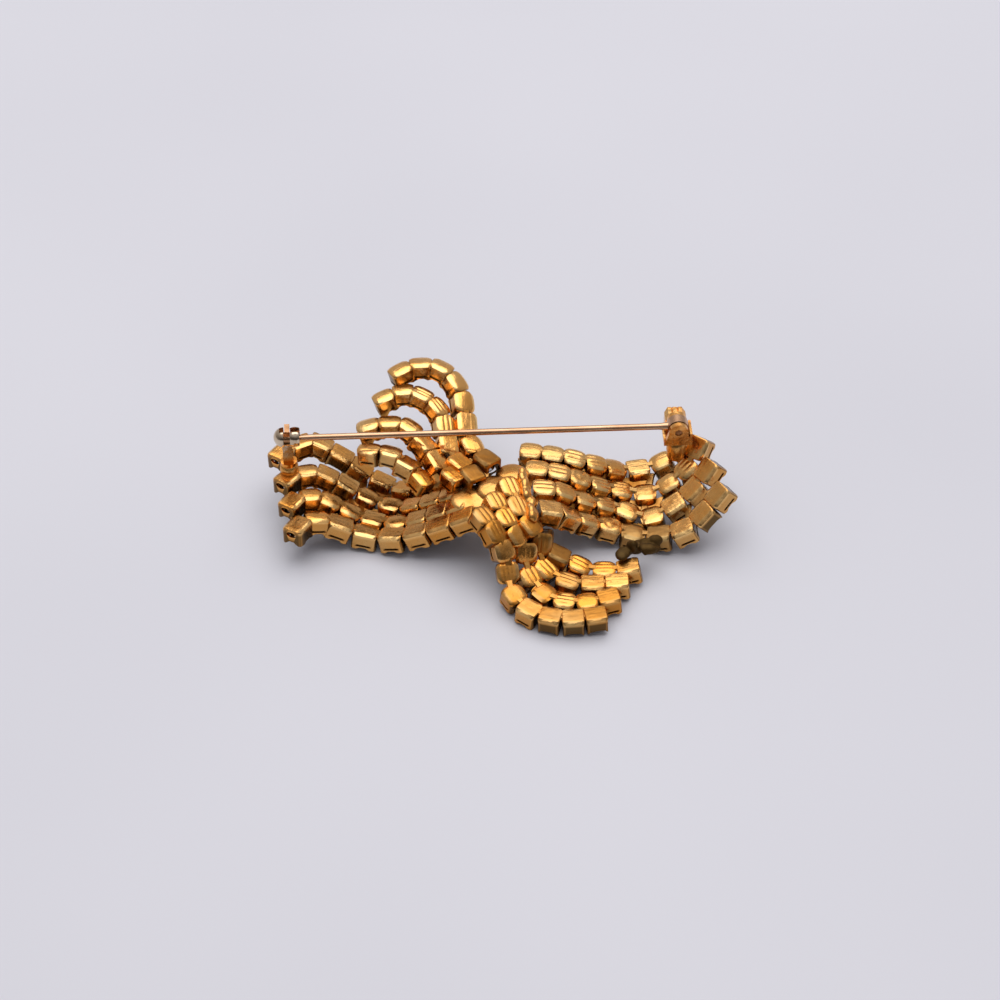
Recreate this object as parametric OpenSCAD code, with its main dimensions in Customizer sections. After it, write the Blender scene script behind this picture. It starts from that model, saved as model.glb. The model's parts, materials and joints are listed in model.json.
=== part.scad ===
// Bow brooch of soldered cup chain, lying on its front with the pin side up.
// Four ribbons of four strands meet at a soldered middle; the pin, its hinge and
// its roll-over catch stand above the back. Millimetres, +Z up.

/* [Bow] */
// Length of the bow from end to end, which the ribbon routes follow
bow_length = 66; // [65:0.5:67]
// Height of the pin line above the solder pad of the hinge
pin_lift = 2.3; // [2.2:0.1:2.8]
// Distance of the pin line behind the middle of the bow
pin_offset = 4.6; // [4.4:0.1:5]
// Turn of the pin line in plan, in degrees, the catch end towards the front
pin_turn = 1; // [0:0.25:1.25]

/* [Cups] */
// Gap between neighbouring cups along a strand
cup_gap = 0.15; // [0.1:0.02:0.24]
// Width of a cup across its strand
cup_width = 2.95; // [2.85:0.05:3]
// Depth of a cup from its back to the prong tips
cup_depth = 2.5; // [2.4:0.05:2.6]
// Cut across each upright corner of a cup
corner_cut = 0.5; // [0.4:0.05:0.6]
// Bevel along the two long edges of a cup's back
back_bevel = 0.5; // [0.3:0.05:0.6]
// Thickness of the back of a cup
floor_thickness = 0.65; // [0.6:0.05:0.75]
// Depth of the notches that leave the four prongs
prong_notch = 0.7; // [0.5:0.05:0.8]
// Width of the links that join the cups of a strand
link_width = 1.1; // [0.8:0.1:1.4]
// Width of the solder bridges that join neighbouring strands
bridge_width = 1.2; // [0.9:0.1:1.4]

/* [Stones] */
// Width of a cut stone across its girdle
stone_width = 2.15; // [2:0.05:2.2]
// Width of the table as a share of the girdle
table_share = 0.6; // [0.5:0.05:0.7]

/* [Pin] */
// Thickness of the pin wire
pin_dia = 0.9; // [0.8:0.05:1]
// Length of the pointed end
pin_point = 4; // [3:0.5:5]
// Diameter of the round head at the hinge end
pin_head_dia = 2.9; // [2.7:0.1:3]

/* [Catch] */
// Outside diameter of the catch rings
catch_dia = 2.8; // [2.75:0.05:2.9]
// Width of each catch ring along the pin
catch_ring = 1.3; // [1.2:0.05:1.35]
// Width of the slot in which the thumb tab moves
catch_slot = 0.9; // [0.85:0.05:1]

/* [Hinge] */
// Thickness of each hinge ear
ear_thickness = 0.7; // [0.6:0.05:0.8]
// Width of a hinge ear at its foot
ear_foot = 3.9; // [3.7:0.1:4]
// Diameter of the hinge rivet
rivet_dia = 1; // [0.9:0.05:1.1]

/* [Hidden] */
$fn = 32;

gold = "#c99a4b";
pale_gold = "#d8b878";
silver = "#c9c2b4";
glass = "#dfe6ea";

// Each ribbon has one row for each bend, from the middle of the bow outwards.
// first, last: x, y and z of the backs of its two outer strands, in hundredths of
// bow_length. second, third: where the inner strands run, as shares of the spread.
// lean: turn of the cups about their strand, in degrees.
//   first                 last                   second  third   lean
left_rows = [
    [[-10.5, 3, 10.8],       [-6.2, -10, 12.3],     0.38,   0.7,   0],
    [[-15.5, 5.1, 7],        [-14, -9, 8],          0.37,   0.7,   0],
    [[-20.5, 7.8, 3.9],      [-21.5, -7.5, 4.5],    0.38,   0.73,  6],
    [[-26.5, 11, 4.6],       [-28, -5.5, 3.5],      0.39,   0.75,  8],
    [[-33, 13.5, 8.5],       [-33, -5, 5.5],        0.39,   0.74,  8],
    [[-39, 15.5, 11],        [-37.5, -5, 7.5],      0.4,    0.72,  8],
    [[-44, 13.5, 11.3],      [-41, -7, 8.2],        0.37,   0.68,  4],
    [[-47.5, 9.2, 11.4],     [-43.5, -10.8, 8.5],   0.34,   0.67,  0],
];
upper_rows = [
    [[-1, 2.5, 14.5],        [-8.5, -7, 13],        0.46,   0.68,  0],
    [[-4.5, 7, 14.5],        [-12, -2, 13],         0.4,    0.69,  8],
    [[-6, 11, 15.5],         [-15, -0.5, 13],       0.42,   0.66,  18],
    [[-6.5, 15.5, 17.5],     [-17, 2, 14],          0.38,   0.68,  22],
    [[-7.5, 21, 20.5],       [-19.5, 4, 14.5],      0.33,   0.7,   20],
    [[-11.5, 25, 23],        [-22, 6, 15.5],        0.34,   0.69,  14],
    [[-17.5, 25.5, 23.5],    [-26.5, 6.5, 16],      0.31,   0.68,  10],
    [[-23, 23, 22.5],        [-32.5, 9, 15],        0.38,   0.75,  8],
];
right_rows = [
    [[4.5, 9, 13],           [8, -9.5, 13],         0.3,    0.65,  0],
    [[13, 7.5, 12.5],        [12, -9, 11.5],        0.31,   0.62,  0],
    [[20.5, 7.1, 10.5],      [17, -7.3, 8],         0.34,   0.66,  0],
    [[27.5, 8.3, 7.5],       [23, -6.6, 5],         0.37,   0.67,  0],
    [[33.5, 9.3, 8],         [30.5, -8, 3.4],       0.39,   0.74,  0],
    [[39, 10.6, 11.5],       [39, -8.7, 6.5],       0.3,    0.62,  0],
    [[41.5, 12.5, 15.5],     [46, -5, 13.5],        0.23,   0.61,  -8],
];
lower_rows = [
    [[-4.5, -12, 15.5],      [1.5, -3.5, 16],       0.5,    1,     -12],
    [[-1, -17, 13.5],        [4.5, -11.5, 13.5],    0.5,    1,     -14],
    [[1, -20, 9.5],          [8, -15, 10.5],        0.5,    0.95,  -8],
    [[1, -22.5, 6],          [10, -15.5, 7],        0.43,   0.76,  0],
    [[2, -25.7, 4.2],        [13.5, -16.4, 5],      0.37,   0.65,  0],
    [[5.5, -29.8, 3.4],      [18, -17.9, 3.5],      0.32,   0.68,  0],
    [[12, -32.2, 3.3],       [23, -18.3, 3.4],      0.33,   0.71,  0],
    [[20.5, -31.7, 3.8],     [28, -18.2, 4.3],      0.38,   0.68,  0],
];

// First row, last row and number of cups of each ribbon's four strands
left_strands = [[0, 7, 9], [0, 7, 9], [0, 7, 9], [0, 7, 8]];
upper_strands = [[0, 7, 8], [0, 7, 8], [0.5, 7, 6], [1.5, 6.5, 4]];
right_strands = [[0, 5.25, 8], [0, 6, 9], [0, 6, 9], [0, 6, 9]];
lower_strands = [[0, 7, 9], [0, 7, 9], [0, 7, 8], [3, 7, 4]];

// Rows at which solder bridges join the strands of a ribbon
left_bridges = [1.2, 3.2, 6.5];
upper_bridges = [1, 2.2, 6.4];
right_bridges = [0.3, 2.2, 3.8, 4.9];
lower_bridges = [0.6, 3.4, 5, 6.8];

// Solder pools at the middle: x, y and z of the top and the radius, in hundredths
// of bow_length
solder_pools = [
    [-7, -5.2, 12.6, 2.8],
    [-5, -4, 11.8, 4],
    [-1.2, -3, 13.2, 3.8],
    [2.6, 1, 13, 3.6],
];
pool_thickness = 1.9;
// Solder seam beside the right ribbon, its two ends in the same way
solder_seam = [[4.6, -1.5, 14.6], [6.4, -12.5, 12.4]];
seam_dia = 1.7;

ribbons = [
    [left_rows, left_strands, left_bridges],
    [upper_rows, upper_strands, upper_bridges],
    [right_rows, right_strands, right_bridges],
    [lower_rows, lower_strands, lower_bridges],
];

stone_clearance = 0.06;
seat_width = stone_width + 2 * stone_clearance;
link_depth = 0.32;
link_thickness = 0.4;
bridge_depth = 0.45;
// Depths below the back of a cup: point, girdle and table of the stone
point_depth = floor_thickness + 0.1;
girdle_depth = cup_depth - 0.75;
girdle_height = 0.12;
table_depth = cup_depth - 0.1;
facets = 8;

solder_gap = 0.05;
running_gap = 0.05;

pin_r = pin_dia / 2;
mouth_width = pin_dia + 0.15;
catch_r = catch_dia / 2;
// The rings' middle lies above the pin line, where their wall is thickest
catch_rise = 0.2;
catch_core_r = catch_r - 0.2;
roller_bore_r = pin_r + 0.08;
roller_r = roller_bore_r + 0.27;
catch_length = 2 * catch_ring + catch_slot;
catch_end = 0.75;
catch_x = -0.442 * bow_length;
catch_pad_z = 0.121 * bow_length;
catch_pad_r = 1.25;
catch_pad_depth = 1.8;
tab_angle = 60;
tab_reach = 0.35;

hinge_x = 0.375 * bow_length;
hinge_pad_z = 0.155 * bow_length;
hinge_pad_r = 1.3;
// The hinge pad stands on the lower strands, further down on a longer bow
hinge_pad_depth = 0.05 * bow_length - 2 * solder_gap;
pin_z = hinge_pad_z + pin_lift;
head_width = 1.5;
head_r = pin_head_dia / 2;
root_r = pin_r + 0.25;
root_length = 2.7;
rivet_r = rivet_dia / 2;
rivet_sink = 0.15;
ear_r = head_r - 0.1;
ear_y = head_width / 2 + 2 * running_gap;
outer_y = ear_y + ear_thickness;
stop_wall = 0.35;
cap_length = 2.8;
cap_drop = 0.1;

// Point at share f between two points
function blend(a, b, f) = a + (b - a) * f;
function unit(v) = v / norm(v);
function clamp(v, low, high) = min(max(v, low), high);

// Smooth curve through a list of points, t counted in points
function extended(p, i) =
    i < 0 ? 2 * p[0] - p[1]
    : i >= len(p) ? 2 * p[len(p) - 1] - p[len(p) - 2]
    : p[i];
function curve_piece(a, b, c, d, f) =
    (2 * b + (c - a) * f + (2 * a - 5 * b + 4 * c - d) * f * f
    + (3 * b - a - 3 * c + d) * f * f * f) / 2;
function curve(p, t) =
    let (i = clamp(floor(t), 0, len(p) - 2))
    curve_piece(extended(p, i - 1), p[i], p[i + 1], extended(p, i + 2), t - i);

// Route of strand k of a ribbon, in millimetres
function strand_share(row, k) = [0, row[2], row[3], 1][k];
function strand_points(rows, k) =
    [for (row = rows) blend(row[0], row[1], strand_share(row, k)) * bow_length / 100];
function lean_at(rows, t) =
    lookup(t, [for (i = [0 : len(rows) - 1]) [i, rows[i][4]]]);

// Table of distance along a route against t
steps_per_row = 8;
function route_table(p, t, last, past = 0) =
    t > last ? []
    : let (next = t + 1 / steps_per_row)
    concat([[past, t]], route_table(p, next, last, past + norm(curve(p, next) - curve(p, t))));

// Frame on a route: origin, direction along the strand, across it and out of the
// backs of the cups
function cup_frame(p, t, lean) =
    let (
        along = unit(curve(p, t + 0.05) - curve(p, t - 0.05)),
        up = unit([0, 0, 1] - along * along[2]),
        back = up * cos(lean) + cross(along, up) * sin(lean)
    )
    [curve(p, t), along, cross(back, along), back];

// Frames of strand k at whole pitches (shift 0.5 for cups, 1 for links), each with
// the pitch as its last entry
function strand_frames(ribbon, k, shift) =
    let (
        rows = ribbon[0],
        strand = ribbon[1][k],
        p = strand_points(rows, k),
        table = route_table(p, strand[0], strand[1]),
        pitch = table[len(table) - 1][0] / strand[2]
    )
    [for (i = [0 : strand[2] - (shift == 1 ? 2 : 1)])
        let (t = lookup((i + shift) * pitch, table))
        concat(cup_frame(p, t, lean_at(rows, t)), [pitch])];

function ribbon_frames(ribbon, shift) = [for (k = [0 : 3]) each strand_frames(ribbon, k, shift)];
all_cups = [for (ribbon = ribbons) each ribbon_frames(ribbon, 0.5)];
function cup_length(f) = f[4] - cup_gap;

// Plan of a cup, long way along the strand
function cup_plan(l, w, c) = [
    [-l / 2 + c, -w / 2], [l / 2 - c, -w / 2], [l / 2, -w / 2 + c], [l / 2, w / 2 - c],
    [l / 2 - c, w / 2], [-l / 2 + c, w / 2], [-l / 2, w / 2 - c], [-l / 2, -w / 2 + c]
];

// Outermost points of a cup, to find where the bow rests
function cup_corners(f) =
    [for (q = cup_plan(cup_length(f), cup_width, corner_cut), depth = [back_bevel, cup_depth])
        f[0] + f[1] * q[0] + f[2] * q[1] - f[3] * depth];
corners = [for (f = all_cups) each cup_corners(f)];
low_x = min([for (c = corners) c[0]]);
high_x = max([for (c = corners) c[0]]);
low_y = min([for (c = corners) c[1]]);
high_y = max([for (c = corners) c[1]]);
low_z = min([for (c = corners) c[2]]);
seat = [-(low_x + high_x) / 2, -(low_y + high_y) / 2, -low_z];

module place(f) {
    multmatrix([
        [f[1][0], f[2][0], f[3][0], f[0][0]],
        [f[1][1], f[2][1], f[3][1], f[0][1]],
        [f[1][2], f[2][2], f[3][2], f[0][2]],
        [0, 0, 0, 1]
    ]) children();
}

// Octagonal seat of a stone, open at the front
module stone_seat() {
    translate([0, 0, -cup_depth - 1])
        rotate([0, 0, 180 / facets])
            cylinder(h = cup_depth + 1 - floor_thickness, d = seat_width / cos(180 / facets), $fn = facets);
}

// Children cut clear of the seats of all the cups within reach of a point
module clear_of_stones(middle, reach = 4.6) {
    difference() {
        children();
        for (f = all_cups) if (norm(f[0] - middle) < reach) place(f) stone_seat();
    }
}

// Notch across the front edge, turned for each pair of walls
module prong_cut(turn, span) {
    half = span / 2 - corner_cut;
    rotate([0, 0, turn]) rotate([90, 0, 0])
        linear_extrude(height = cup_width + 1, center = true)
            polygon([[-half, -cup_depth - 0.1], [half, -cup_depth - 0.1], [0, prong_notch - cup_depth]]);
}

// Outside of a cup, back up at z = 0, its strand along x
module cup_body(length) {
    side = cup_width / 2;
    intersection() {
        translate([0, 0, -cup_depth])
            linear_extrude(height = cup_depth) polygon(cup_plan(length, cup_width, corner_cut));
        rotate([90, 0, 90])
            linear_extrude(height = length + 1, center = true)
                polygon([
                    [-side - 0.1, -cup_depth - 0.1], [side + 0.1, -cup_depth - 0.1],
                    [side + 0.1, -back_bevel - 0.1], [side - back_bevel, 0],
                    [back_bevel - side, 0], [-side - 0.1, -back_bevel - 0.1]
                ]);
    }
}

module notched_body(length) {
    difference() {
        cup_body(length);
        prong_cut(0, length);
        prong_cut(90, cup_width);
    }
}

// Flat neck between two cups of a strand
module link() {
    translate([0, 0, -link_depth])
        cube([cup_gap + 0.7, link_width, link_thickness], center = true);
}

// Bar from the side of one strand to the side of the next
module bridge(a, b) {
    along = unit(b[0] - a[0]);
    up = unit(cross(cross(along, a[3] + b[3]), along));
    inset = cup_width / 2 - 0.5;
    span = norm(b[0] - a[0]) - 2 * inset;
    if (span > 0.1)
        place([blend(a[0], b[0], 0.5), along, cross(up, along), up])
            translate([0, 0, -bridge_depth])
                cube([span, bridge_width, link_thickness], center = true);
}

// Bridges of a ribbon at its rows in the table, where both strands run
module ribbon_bridges(ribbon) {
    for (t = ribbon[2], k = [0 : 2]) {
        pair = [ribbon[1][k], ribbon[1][k + 1]];
        if (t >= max(pair[0][0], pair[1][0]) && t <= min(pair[0][1], pair[1][1])) {
            f = [for (m = [k, k + 1]) cup_frame(strand_points(ribbon[0], m), t, lean_at(ribbon[0], t))];
            clear_of_stones(blend(f[0][0], f[1][0], 0.5)) bridge(f[0], f[1]);
        }
    }
}

// Low dome of solder with its top at z = 0
module solder_pool(r) {
    rotate_extrude()
        polygon([
            [0, -pool_thickness], [r - 0.4, -pool_thickness], [r, -pool_thickness / 2],
            [r - 0.5, -0.25], [r / 2, 0], [0, 0]
        ]);
}

module seam() {
    a = solder_seam[0] * bow_length / 100;
    b = solder_seam[1] * bow_length / 100;
    along = unit(b - a);
    side = unit(cross([0, 0, 1], along));
    place([a, side, cross(along, side), along]) cylinder(h = norm(b - a), d = seam_dia);
}

// Frame on the pin line at a distance x along it, z from the underside of the bow
module on_pin_line(x, z) {
    translate([0, pin_offset, 0]) rotate([0, 0, pin_turn]) translate([x, 0, z]) children();
}

// Pads of solder under the catch and the hinge
module fitting_pads() {
    on_pin_line(catch_x, catch_pad_z - catch_pad_depth)
        cylinder(h = catch_pad_depth, r = catch_pad_r);
    on_pin_line(hinge_x, hinge_pad_z - hinge_pad_depth)
        cylinder(h = hinge_pad_depth, r = hinge_pad_r);
}

// All the soldered metal: cups, links, bridges, solder and pads
module bow_frame() {
    color(gold)
        translate(seat) {
            for (f = all_cups) clear_of_stones(f[0]) place(f) notched_body(cup_length(f));
            for (ribbon = ribbons, f = ribbon_frames(ribbon, 1)) place(f) link();
            for (ribbon = ribbons) ribbon_bridges(ribbon);
            for (p = solder_pools)
                let (top = [p[0], p[1], p[2]] * bow_length / 100)
                    clear_of_stones(top, 6) translate(top) solder_pool(p[3] * bow_length / 100);
            clear_of_stones((solder_seam[0] + solder_seam[1]) * bow_length / 200, 8) seam();
            clear_of_stones([hinge_x, pin_offset, hinge_pad_z], 6) fitting_pads();
        }
}

// Cut stone in the frame of its cup: point to the back, table to the front
module cut_stone() {
    r = stone_width / 2 / cos(180 / facets);
    rings = [
        [r, girdle_depth], [r, girdle_depth + girdle_height], [r * table_share, table_depth]
    ];
    points = concat(
        [[0, 0, -point_depth]],
        [for (ring = rings, i = [0 : facets - 1])
            let (a = (i + 0.5) * 360 / facets)
            [ring[0] * cos(a), ring[0] * sin(a), -ring[1]]]
    );
    point_faces = [for (i = [0 : facets - 1]) [0, 1 + i, 1 + (i + 1) % facets]];
    side_faces = [for (ring = [0, 1], i = [0 : facets - 1])
        let (a = 1 + ring * facets + i, b = 1 + ring * facets + (i + 1) % facets)
        [a, a + facets, b + facets, b]];
    table_face = [for (i = [0 : facets - 1]) 1 + 2 * facets + i];
    polyhedron(points, concat(point_faces, side_faces, [table_face]));
}

module ribbon_stones(ribbon) {
    color(glass)
        translate(seat)
            for (f = ribbon_frames(ribbon, 0.5)) place(f) cut_stone();
}

module stones_left() { ribbon_stones(ribbons[0]); }
module stones_upper() { ribbon_stones(ribbons[1]); }
module stones_right() { ribbon_stones(ribbons[2]); }
module stones_lower() { ribbon_stones(ribbons[3]); }

// Frame of the catch: x along the pin from the closed end, origin on the pin line
module at_catch() {
    translate(seat) on_pin_line(catch_x - catch_length / 2, pin_z) children();
}

module along_pin(h, r) {
    rotate([0, 90, 0]) cylinder(h = h, r = r);
}

// Slice of a ball from x = first to last, its middle at x = middle
module bulged_ring(middle, first, last) {
    intersection() {
        translate([middle, 0, catch_rise]) sphere(r = catch_r);
        translate([first, -catch_r - 1, -catch_r - 1]) cube([last - first, catch_dia + 2, catch_dia + 3]);
    }
}

// Two bulged rings on a post, the outer one domed, open upwards for the pin
module catch_housing() {
    post_height = pin_z - catch_pad_z - solder_gap;
    color(silver)
        at_catch()
            difference() {
                union() {
                    bulged_ring(catch_ring, catch_ring - catch_r - 1, catch_ring);
                    bulged_ring(catch_length - catch_ring / 2, catch_length - catch_ring, catch_length);
                    translate([catch_end, 0, catch_rise])
                        along_pin(catch_length - catch_end - 0.1, catch_core_r);
                    translate([catch_length / 2 - 0.7, -0.65, -post_height])
                        cube([1.4, 1.3, post_height - 0.6]);
                    translate([catch_length / 2, 0, -post_height]) cylinder(h = 0.5, r = 1.15);
                }
                translate([catch_end, 0, 0]) along_pin(catch_length, roller_r + running_gap);
                translate([catch_end, -mouth_width / 2, 0]) cube([catch_length, mouth_width, catch_r + 1]);
                translate([catch_ring, -catch_r - 1, -0.25]) cube([catch_slot, catch_dia + 2, catch_r + 2]);
            }
}

// Slit tube that turns in the rings to close the catch, with its thumb tab
module catch_roller() {
    length = catch_length - catch_end - running_gap;
    tab_foot = roller_bore_r + 0.1;
    color(pale_gold)
        at_catch()
            difference() {
                union() {
                    translate([catch_end + running_gap, 0, 0]) along_pin(length, roller_r);
                    rotate([-tab_angle, 0, 0])
                        translate([catch_ring + 0.1, -0.3, tab_foot])
                            cube([catch_slot - 0.2, 0.6, catch_r + catch_rise + tab_reach - tab_foot]);
                }
                along_pin(catch_length + 1, roller_bore_r);
                translate([0, -mouth_width / 2, 0]) cube([catch_length + 1, mouth_width, catch_r + 1]);
            }
}

// Frame of the hinge: origin where the rivet crosses the pin line
module at_hinge() {
    translate(seat) on_pin_line(hinge_x, pin_z) children();
}

module across_pin(h, r) {
    rotate([90, 0, 0]) cylinder(h = h, r = r, center = true);
}

// Ear with a round top and a wider foot, its near face at y = 0
module hinge_ear(drop) {
    translate([0, ear_thickness / 2, 0]) {
        across_pin(ear_thickness, ear_r);
        rotate([90, 0, 0])
            linear_extrude(height = ear_thickness, center = true)
                polygon([
                    [0.1 - ear_r, 0], [-ear_foot / 2, -drop], [ear_foot / 2, -drop], [ear_r - 0.1, 0]
                ]);
    }
}

// Hinge box: two ears on a plate, a low stop wall and a ridged cap behind
module hinge_body() {
    drop = pin_z - hinge_pad_z - solder_gap;
    color(gold)
        at_hinge()
            difference() {
                union() {
                    for (y = [-outer_y, ear_y]) translate([0, y, 0]) hinge_ear(drop);
                    translate([-ear_foot / 2, -outer_y, -drop]) cube([ear_foot, 2 * outer_y, 0.6]);
                    translate([ear_foot / 2 - stop_wall, -outer_y, -drop])
                        cube([stop_wall, 2 * outer_y, drop - 0.3]);
                    translate([0, outer_y + cap_length / 2 - 0.1, -cap_drop])
                        rotate([0, 0, 90]) ridged_cap();
                }
                across_pin(4 * outer_y, rivet_r + 0.02);
            }
}

// Closed cup with three ridges along its back
module ridged_cap() {
    difference() {
        cup_body(cap_length);
        for (y = [-0.4, 0.4])
            translate([0, y, 0.05]) rotate([45, 0, 0]) cube([cap_length + 1, 0.25, 0.25], center = true);
    }
}

// Plain rivet through ears and pin head, sunk a little in both ears
module hinge_rivet() {
    color(silver) at_hinge() across_pin(2 * (outer_y - rivet_sink), rivet_r);
}

// Wire with a drilled round head, a tapered root and a point that lies in the catch
module pin_stem() {
    tip = hinge_x - catch_x + catch_length / 2 - catch_end - 0.3;
    color(pale_gold)
        at_hinge()
            difference() {
                union() {
                    across_pin(head_width, head_r);
                    rotate([0, -90, 0]) cylinder(h = root_length, r1 = root_r, r2 = pin_r);
                    translate([-(tip - pin_point), 0, 0]) along_pin(tip - pin_point - 1, pin_r);
                    translate([-tip, 0, 0])
                        rotate([0, 90, 0]) cylinder(h = pin_point, r1 = 0.1, r2 = pin_r);
                }
                across_pin(head_width + 1, rivet_r + running_gap);
            }
}

bow_frame();
stones_left();
stones_upper();
stones_right();
stones_lower();
catch_housing();
catch_roller();
hinge_body();
hinge_rivet();
pin_stem();
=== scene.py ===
import json
import math
import random

import bmesh
import bpy
import numpy as np
from mathutils import Matrix, Vector

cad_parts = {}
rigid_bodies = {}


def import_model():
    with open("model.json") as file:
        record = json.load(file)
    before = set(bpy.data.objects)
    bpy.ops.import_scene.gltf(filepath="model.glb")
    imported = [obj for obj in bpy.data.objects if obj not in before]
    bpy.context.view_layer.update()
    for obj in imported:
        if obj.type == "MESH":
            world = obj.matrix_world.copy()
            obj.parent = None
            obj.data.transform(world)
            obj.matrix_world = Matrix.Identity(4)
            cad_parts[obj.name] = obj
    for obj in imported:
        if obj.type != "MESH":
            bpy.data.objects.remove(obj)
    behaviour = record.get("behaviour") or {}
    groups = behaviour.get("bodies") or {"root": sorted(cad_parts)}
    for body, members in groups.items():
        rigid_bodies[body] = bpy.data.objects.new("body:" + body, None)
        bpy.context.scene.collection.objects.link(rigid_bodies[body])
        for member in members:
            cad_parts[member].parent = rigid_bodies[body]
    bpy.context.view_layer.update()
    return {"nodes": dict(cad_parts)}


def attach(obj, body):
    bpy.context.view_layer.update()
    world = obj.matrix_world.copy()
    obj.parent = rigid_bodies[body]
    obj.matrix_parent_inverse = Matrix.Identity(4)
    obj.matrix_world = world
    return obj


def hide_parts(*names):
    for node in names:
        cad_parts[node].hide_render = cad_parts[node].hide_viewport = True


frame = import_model()
scene = bpy.context.scene
mm = 0.001

# the bow lies on its front: sizes in millimetres, the routes of the strands as the solids have them
bow = {
    "length": 66.0,
    "cupGap": 0.15,
    "cupWidth": 2.95,
    "cupDepth": 2.5,
    "cornerCut": 0.5,
    "backBevel": 0.5,
    "stepsPerRow": 8,
    "tangentStep": 0.05,
    "linkDepth": 0.32,
    "bridgeDepth": 1.4,
}

# rows: first and last strand in hundredths of the length, shares of the two inner strands, lean in degrees
# strands: first row, last row and number of cups
# bridges: the rows where bars of solder join neighbouring strands
# kinds: one letter for each cup of a strand, from the middle outwards
# f flat, p pillow, g two grooves, h three grooves, r ring, d dented, w flat over a wide notch,
# e open end outside, o open end inside; a capital letter is a cup gone dark with oxide
# tone: 0 deep gold to 1 pale gold, at the middle and at the end of the ribbon
# widen: cup width against the usual; dull: how far the duller cups have darkened
# fills: solder between strands k and k + 1 from row to row
ribbons = {
    "left": {
        "rows": [
            ((-10.5, 3, 10.8), (-6.2, -10, 12.3), 0.38, 0.7, 0),
            ((-15.5, 5.1, 7), (-14, -9, 8), 0.37, 0.7, 0),
            ((-20.5, 7.8, 3.9), (-21.5, -7.5, 4.5), 0.38, 0.73, 6),
            ((-26.5, 11, 4.6), (-28, -5.5, 3.5), 0.39, 0.75, 8),
            ((-33, 13.5, 8.5), (-33, -5, 5.5), 0.39, 0.74, 8),
            ((-39, 15.5, 11), (-37.5, -5, 7.5), 0.4, 0.72, 8),
            ((-44, 13.5, 11.3), (-41, -7, 8.2), 0.37, 0.68, 4),
            ((-47.5, 9.2, 11.4), (-43.5, -10.8, 8.5), 0.34, 0.67, 0),
        ],
        "strands": ((0, 7, 9), (0, 7, 9), (0, 7, 9), (0, 7, 8)),
        "bridges": (1.2, 3.2, 6.5),
        "kinds": ("fffffwffe", "fffdpffpe", "fffpfddpe", "ffffffpe"),
        "tone": (0.2, 0.35),
        "widen": 1.02,
        "dull": 0.15,
        "fills": ((0, 0, 2.8), (1, 0, 3.6), (2, 0, 4.4)),
    },
    "upper": {
        "rows": [
            ((-1, 2.5, 14.5), (-8.5, -7, 13), 0.46, 0.68, 0),
            ((-4.5, 7, 14.5), (-12, -2, 13), 0.4, 0.69, 8),
            ((-6, 11, 15.5), (-15, -0.5, 13), 0.42, 0.66, 18),
            ((-6.5, 15.5, 17.5), (-17, 2, 14), 0.38, 0.68, 22),
            ((-7.5, 21, 20.5), (-19.5, 4, 14.5), 0.33, 0.7, 20),
            ((-11.5, 25, 23), (-22, 6, 15.5), 0.34, 0.69, 14),
            ((-17.5, 25.5, 23.5), (-26.5, 6.5, 16), 0.31, 0.68, 10),
            ((-23, 23, 22.5), (-32.5, 9, 15), 0.38, 0.75, 8),
        ],
        "strands": ((0, 7, 8), (0, 7, 8), (0.5, 7, 6), (1.5, 6.5, 4)),
        "bridges": (1, 2.2, 6.4),
        "kinds": ("Opfppppp", "Offghhpp", "fffppp", "dfpp"),
        "tone": (0.1, 0.6),
        "widen": 1.0,
        "dull": 0.0,
        "fills": ((0, 0, 1.6), (1, 0, 2.4), (2, 1.4, 2.4)),
    },
    "right": {
        "rows": [
            ((4.5, 9, 13), (8, -9.5, 13), 0.3, 0.65, 0),
            ((13, 7.5, 12.5), (12, -9, 11.5), 0.31, 0.62, 0),
            ((20.5, 7.1, 10.5), (17, -7.3, 8), 0.34, 0.66, 0),
            ((27.5, 8.3, 7.5), (23, -6.6, 5), 0.37, 0.67, 0),
            ((33.5, 9.3, 8), (30.5, -8, 3.4), 0.39, 0.74, 0),
            ((39, 10.6, 11.5), (39, -8.7, 6.5), 0.3, 0.62, 0),
            ((41.5, 12.5, 15.5), (46, -5, 13.5), 0.23, 0.61, -8),
        ],
        "strands": ((0, 5.25, 8), (0, 6, 9), (0, 6, 9), (0, 6, 9)),
        "bridges": (0.3, 2.2, 3.8, 4.9),
        "kinds": ("ppggdfpf", "pgrghdpgf", "ghdhpdfff", "ffprDFfwf"),
        "tone": (0.55, 0.4),
        "widen": 1.06,
        "dull": 0.12,
        "fills": ((0, 0, 3.8), (1, 0, 4.2), (2, 0, 3.9)),
    },
    "lower": {
        "rows": [
            ((-4.5, -12, 15.5), (1.5, -3.5, 16), 0.5, 1, -12),
            ((-1, -17, 13.5), (4.5, -11.5, 13.5), 0.5, 1, -14),
            ((1, -20, 9.5), (8, -15, 10.5), 0.5, 0.95, -8),
            ((1, -22.5, 6), (10, -15.5, 7), 0.43, 0.76, 0),
            ((2, -25.7, 4.2), (13.5, -16.4, 5), 0.37, 0.65, 0),
            ((5.5, -29.8, 3.4), (18, -17.9, 3.5), 0.32, 0.68, 0),
            ((12, -32.2, 3.3), (23, -18.3, 3.4), 0.33, 0.71, 0),
            ((20.5, -31.7, 3.8), (28, -18.2, 4.3), 0.38, 0.68, 0),
        ],
        "strands": ((0, 7, 9), (0, 7, 9), (0, 7, 8), (3, 7, 4)),
        "bridges": (0.6, 3.4, 5, 6.8),
        "kinds": ("ghphpfwww", "ggphgdhpf", "ghphghff", "Fghf"),
        "tone": (0.12, 0.08),
        "widen": 1.03,
        "dull": 0.4,
        "fills": ((0, 0, 3.4), (1, 0, 3), (2, 3.2, 4.6)),
    },
}
cupKinds = "fpghrdweo"  # the order of the cups in the collection of shapes


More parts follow.
